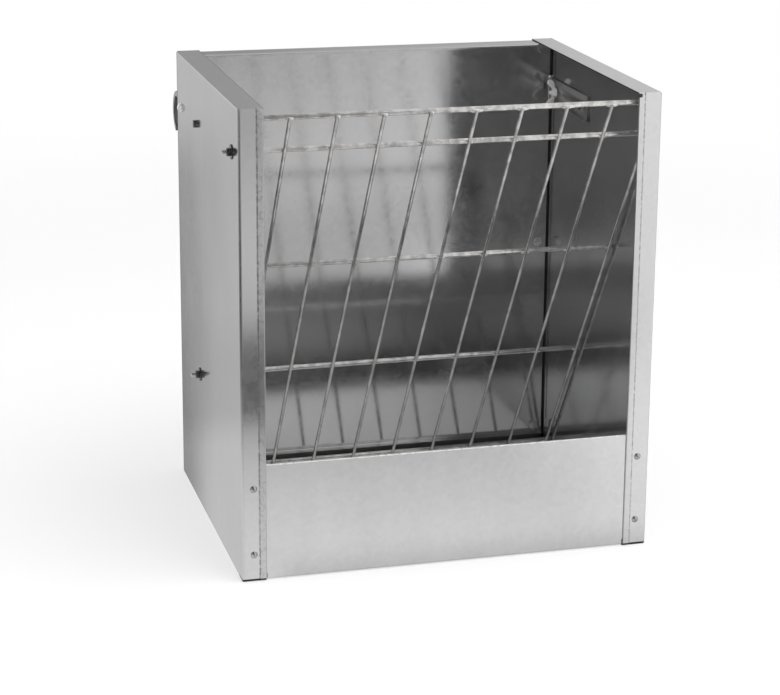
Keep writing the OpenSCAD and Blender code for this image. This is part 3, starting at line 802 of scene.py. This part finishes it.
hookEdge = {"width": 0.35, "angle": 40}
flatFacing = 0.7                                         # least sideways normal of a flat side


def brokenEdges(name, node):
    piece = bpy.data.objects.new(name, nodes[node].data.copy())
    bpy.context.scene.collection.objects.link(piece)
    onlyThis(piece)
    bpy.ops.mesh.customdata_custom_splitnormals_clear()
    bpy.ops.object.mode_set(mode="EDIT")
    bpy.ops.mesh.select_all(action="SELECT")
    bpy.ops.mesh.remove_doubles(threshold=weldGap)
    bpy.ops.mesh.dissolve_limited(angle_limit=math.radians(1.0))
    bpy.ops.object.mode_set(mode="OBJECT")
    return softEdges(piece, **hookEdge)


for name in ("left_hanging_hook", "right_hanging_hook"):
    hook = fit(brokenEdges(name + "_bar", name), "feeder", "hook_steel", zinc["hookSteel"], name)
    # the faces that do not face sideways, the cut edges and the rib, get the darker copy: painted
    # shade
    hook.data.materials.append(zinc["hookShadedFaces"])      # the cut edges and the rib are darker
    for face in hook.data.polygons:
        face.material_index = int(abs(face.normal.x) < flatFacing)
print("stage: hooks made")


# Floor, backdrop, light and camera

studio = {"floorShade": 0.8, "floorSpread": 0.01, "shadowShare": 0.5, "seenFloor": 1.02,
          "worldFill": 0.55}


def paperFinish():
    # a pale floor; the picture sees it brightened to white, with half of its shadow left
    f = Finish("palePaper")
    place = f.place()
    fibre = f.noise(place, 3.0, 3.0)
    paper = f.blend(fibre, grey(studio["floorShade"] - studio["floorSpread"]),
                    grey(studio["floorShade"] + studio["floorSpread"]))
    fullPaper = f.add("ShaderNodeBsdfDiffuse", {}, {"Color": paper})
    halfPaper = f.add("ShaderNodeBsdfDiffuse", {}, {"Color": grey(studio["shadowShare"])})
    glowStrength = studio["seenFloor"] - studio["shadowShare"]
    glow = f.add("ShaderNodeEmission", {}, {"Color": grey(1.0), "Strength": glowStrength})
    lifted = f.add("ShaderNodeAddShader", {}, {0: halfPaper, 1: glow})
    # far from the box the seen floor is plain white
    distance = f.add("ShaderNodeVectorMath", {"operation": "LENGTH"}, {0: place}, 1)
    plain = f.add("ShaderNodeEmission", {}, {"Color": grey(1.0), "Strength": 1.0})
    shown = f.add("ShaderNodeMixShader", {}, {0: f.step(distance, 1.0, 2.4), 1: lifted, 2: plain})
    return f.done(f.add("ShaderNodeMixShader", {}, {0: f.seenRays(), 1: fullPaper, 2: shown}))


startClean()
bpy.ops.mesh.primitive_plane_add(size=24.0, location=(0, 4, 0))
floor = bpy.context.object
floor.name = "floor"
bpy.ops.object.transform_apply(location=True, rotation=True, scale=True)
floor.data.materials.append(paperFinish())

world = bpy.data.worlds.new("studio")
bpy.context.scene.world = world
air = Finish("studioAir", world)
fill = air.add("ShaderNodeBackground", {}, {"Color": grey(1.0), "Strength": studio["worldFill"]})
white = air.add("ShaderNodeBackground", {}, {"Color": grey(1.0), "Strength": 1.0})
air.done(air.add("ShaderNodeMixShader", {}, {0: air.seenRays(), 1: fill, 2: white}),
         "ShaderNodeOutputWorld")


def levelBoard(x, y, z):
    return [(x[0], y[0], z), (x[1], y[0], z), (x[0], y[1], z), (x[1], y[1], z)]


def uprightBoard(start, end, low, high):
    return [(*start, low), (*end, low), (*start, high), (*end, high)]


def reflectionCard(name, corners, toneOf):
    # a glowing board that only the metal sees: a painted reflection that stands in for a studio's
    # grey and black cards outside the picture
    startClean()
    bpy.ops.mesh.primitive_plane_add(size=1.0, location=(0, 0, 0))
    card = bpy.context.object
    card.name = name
    for vertex, corner in zip(card.data.vertices, corners):
        vertex.co = corner
    f = Finish(name + "Board")
    tone = toneOf(f, f.axesOf(f.place()))
    shader = f.add("ShaderNodeEmission", {}, {"Color": tone, "Strength": 1.0})
    card.data.materials.append(f.done(shader))
    card.visible_camera = False
    card.visible_diffuse = False
    card.visible_shadow = False
    card.visible_transmission = False
    return card


# how the table's painted reflection runs, in metres and shares of white: ahead of the box, where
# painted light fades further off, beside and behind it, and where its painted pool of light on the
# right begins
tableRuns = {
    "ahead": [(0.1, 0.86), (0.3, 0.84), (0.42, 0.76), (0.55, 0.66), (0.7, 0.54), (1.03, 0.50),
              (1.26, 0.60), (1.55, 0.68), (1.8, 0.66), (2.1, 0.58), (2.6, 0.47)],
    "beside": [(-0.4, 0.84), (0.25, 0.81), (0.38, 0.66), (0.6, 0.66), (0.9, 0.73), (3.0, 0.75)],
    "litEdge": [(0.3, 0.24), (0.6, 0.24), (1.03, 0.5), (1.7, 0.75), (2.5, 1.0)],
}
# where the painted light, the box's painted shadow and the dark cards lie on the table's painted
# reflection
tableAreas = {
    "right": [("x", "above", 0, 300, 800)],
    "litRight": [("pastEdge", "above", 0, -120, 120)],
    "blackCard": [("ahead", "above", 0, 710, 760), ("ahead", "below", 0, 1100, 1140),
                  ("x", "below", 0, 0, 80)],
    "farLeft": [("ahead", "above", 0, 1000, 1100), ("slant", "below", 0, -170, -70),
                ("x", "above", 0, -2200, -1400)],
    "besideBox": [("y", "above", 0, -300, -100)],
    "boxShadowArea": [("wallLine", "above", 0, -50, 150), ("y", "below", 0, 1600, 2600)],
    "farSide": [("left", "above", 0, 550, 900), ("y", "below", 0, 300, 900),
                ("x", "above", 0, -2400, -1600)],
}
# strengths of the painted light on the right, the dark cards, the box's painted shadow and the
# dark far side
tableTones = {"rightLight": 0.1, "card": 0.82, "litRight": 0.97, "behind": 0.46, "farSide": 0.7}


def paintedTableReflection(f, axes):
    # painted reflection of a table: painted light, pale to the right and fading further off, the
    # box's painted shadow behind its left wall, and a black card to the front left
    x, y = axes["x"], axes["y"]
    ahead = 0.0 - y
    axes = dict(axes, ahead=ahead, left=0.0 - x, slant=x - (ahead - 1.15) * 0.16,
                wallLine=y + (x + 0.233) * 5.4, pastEdge=x - f.along(ahead, tableRuns["litEdge"]))
    area = {key: f.area(axes, limits) for key, limits in tableAreas.items()}
    front = f.along(ahead, tableRuns["ahead"]) + area["right"] * tableTones["rightLight"]
    front = front * (1.0 - area["blackCard"].most(area["farLeft"]) * tableTones["card"])
    front = f.mix(area["litRight"], front, tableTones["litRight"])
    beside = f.along(y, tableRuns["beside"]) * (1.0 - area["boxShadowArea"] * tableTones["behind"])
    tone = f.mix(area["besideBox"], front, beside)
    tone = tone * (1.0 - area["farSide"] * tableTones["farSide"])
    return f.blend(tone, grey(0.0), grey(1.0))


def runAlong(axis, stops):
    return lambda f, axes: f.along(axes[axis], stops)


farX, farY, roomTop = 7, 6, 5.0
rearLeft, rearRight = (-farX, farY), (farX, farY)
aheadLeft, aheadRight = (-farX, -farY), (farX, -farY)
# tones of the glowing boards, painted reflections: dark ahead and overhead to the left, paler to
# the right
plainCards = {
    "backCard": (uprightBoard(rearLeft, rearRight, 0.4, 6.0), "x", [
        (-7.0, 0.95), (-1.7, 0.95), (-1.2, 0.45), (1.0, 0.45), (1.5, 0.62), (1.9, 0.65),
        (2.5, 0.82), (7.0, 0.88)]),
    "frontCard": (uprightBoard(aheadLeft, aheadRight, 0.5, roomTop), "x", [
        (-7.0, 0.6), (-4.0, 0.5), (-2.8, 0.14), (0.6, 0.14), (2.0, 0.8), (7.0, 0.9)]),
    "ceilingCard": (levelBoard((-farX, farX), (-farY, farY), roomTop), "x", [
        (-7.0, 0.3), (-2.0, 0.05), (-0.6, 0.08), (0.4, 0.6), (1.5, 0.7), (7.0, 0.85)]),
    "leftCard": (uprightBoard(aheadLeft, rearLeft, 0.05, roomTop), "y", [
        (-6.0, 0.6), (-3.5, 0.5), (-1.5, 0.12), (1.0, 0.12), (6.0, 0.5)]),
    "rightCard": (uprightBoard(aheadRight, rearRight, 0.05, roomTop), "y", [
        (-6.0, 0.9), (6.0, 0.8)]),
}
# the table's painted reflection, with painted light and the box's painted shadow
reflectionCard("tableCard", levelBoard((-6, farX), (-7, 9), 0.0004), paintedTableReflection)
for name, (corners, axis, stops) in plainCards.items():
    reflectionCard(name, corners, runAlong(axis, stops))

lamps = {"keyLamp": {"place": (0.9, -1.0, 2.9), "size": (2.6, 2.2), "power": 56.0},
         "fillLamp": {"place": (-1.6, -0.3, 2.8), "size": (1.6, 1.6), "power": 16.0}}
lampAim = Vector((0, 0, 0.2))
for name, lampSettings in lamps.items():
    data = bpy.data.lights.new(name, "AREA")
    data.shape = "RECTANGLE"
    data.size, data.size_y = lampSettings["size"]
    data.energy = lampSettings["power"]
    lamp = bpy.data.objects.new(name, data)
    bpy.context.scene.collection.objects.link(lamp)
    lamp.visible_glossy = False                          # the metal mirrors the cards instead
    lamp.location = lampSettings["place"]
    beam = lampAim - Vector(lampSettings["place"])
    lamp.rotation_euler = beam.to_track_quat("-Z", "Y").to_euler()

# the camera's place in metres, its angles in degrees, and its lens
lens = {"place": (-0.6840, -2.4904, 0.9745), "turn": 16.231, "down": 15.693, "roll": 0.762,
        "focal": 106.31, "sensor": 36.0, "shift": (-0.06026, -0.06026), "reach": 60.0}
turn, down, roll = (math.radians(lens[key]) for key in ("turn", "down", "roll"))
ahead = Vector((math.sin(turn) * math.cos(down), math.cos(turn) * math.cos(down), -math.sin(down)))
side = Vector((math.cos(turn), -math.sin(turn), 0))
rise = side.cross(ahead)
cameraX = side * math.cos(roll) + rise * math.sin(roll)
cameraY = rise * math.cos(roll) - side * math.sin(roll)
cameraData = bpy.data.cameras.new("camera")
camera = bpy.data.objects.new("camera", cameraData)
bpy.context.scene.collection.objects.link(camera)
facing = camera.matrix_world.copy()
for row in range(3):
    facing[row] = (cameraX[row], cameraY[row], -ahead[row], lens["place"][row])
camera.matrix_world = facing
cameraData.sensor_width = lens["sensor"]
cameraData.lens = lens["focal"]
cameraData.shift_x, cameraData.shift_y = lens["shift"]
cameraData.clip_end = lens["reach"]
bpy.context.scene.camera = camera
bpy.context.scene.view_settings.view_transform = "Standard"
print("stage: studio set up")
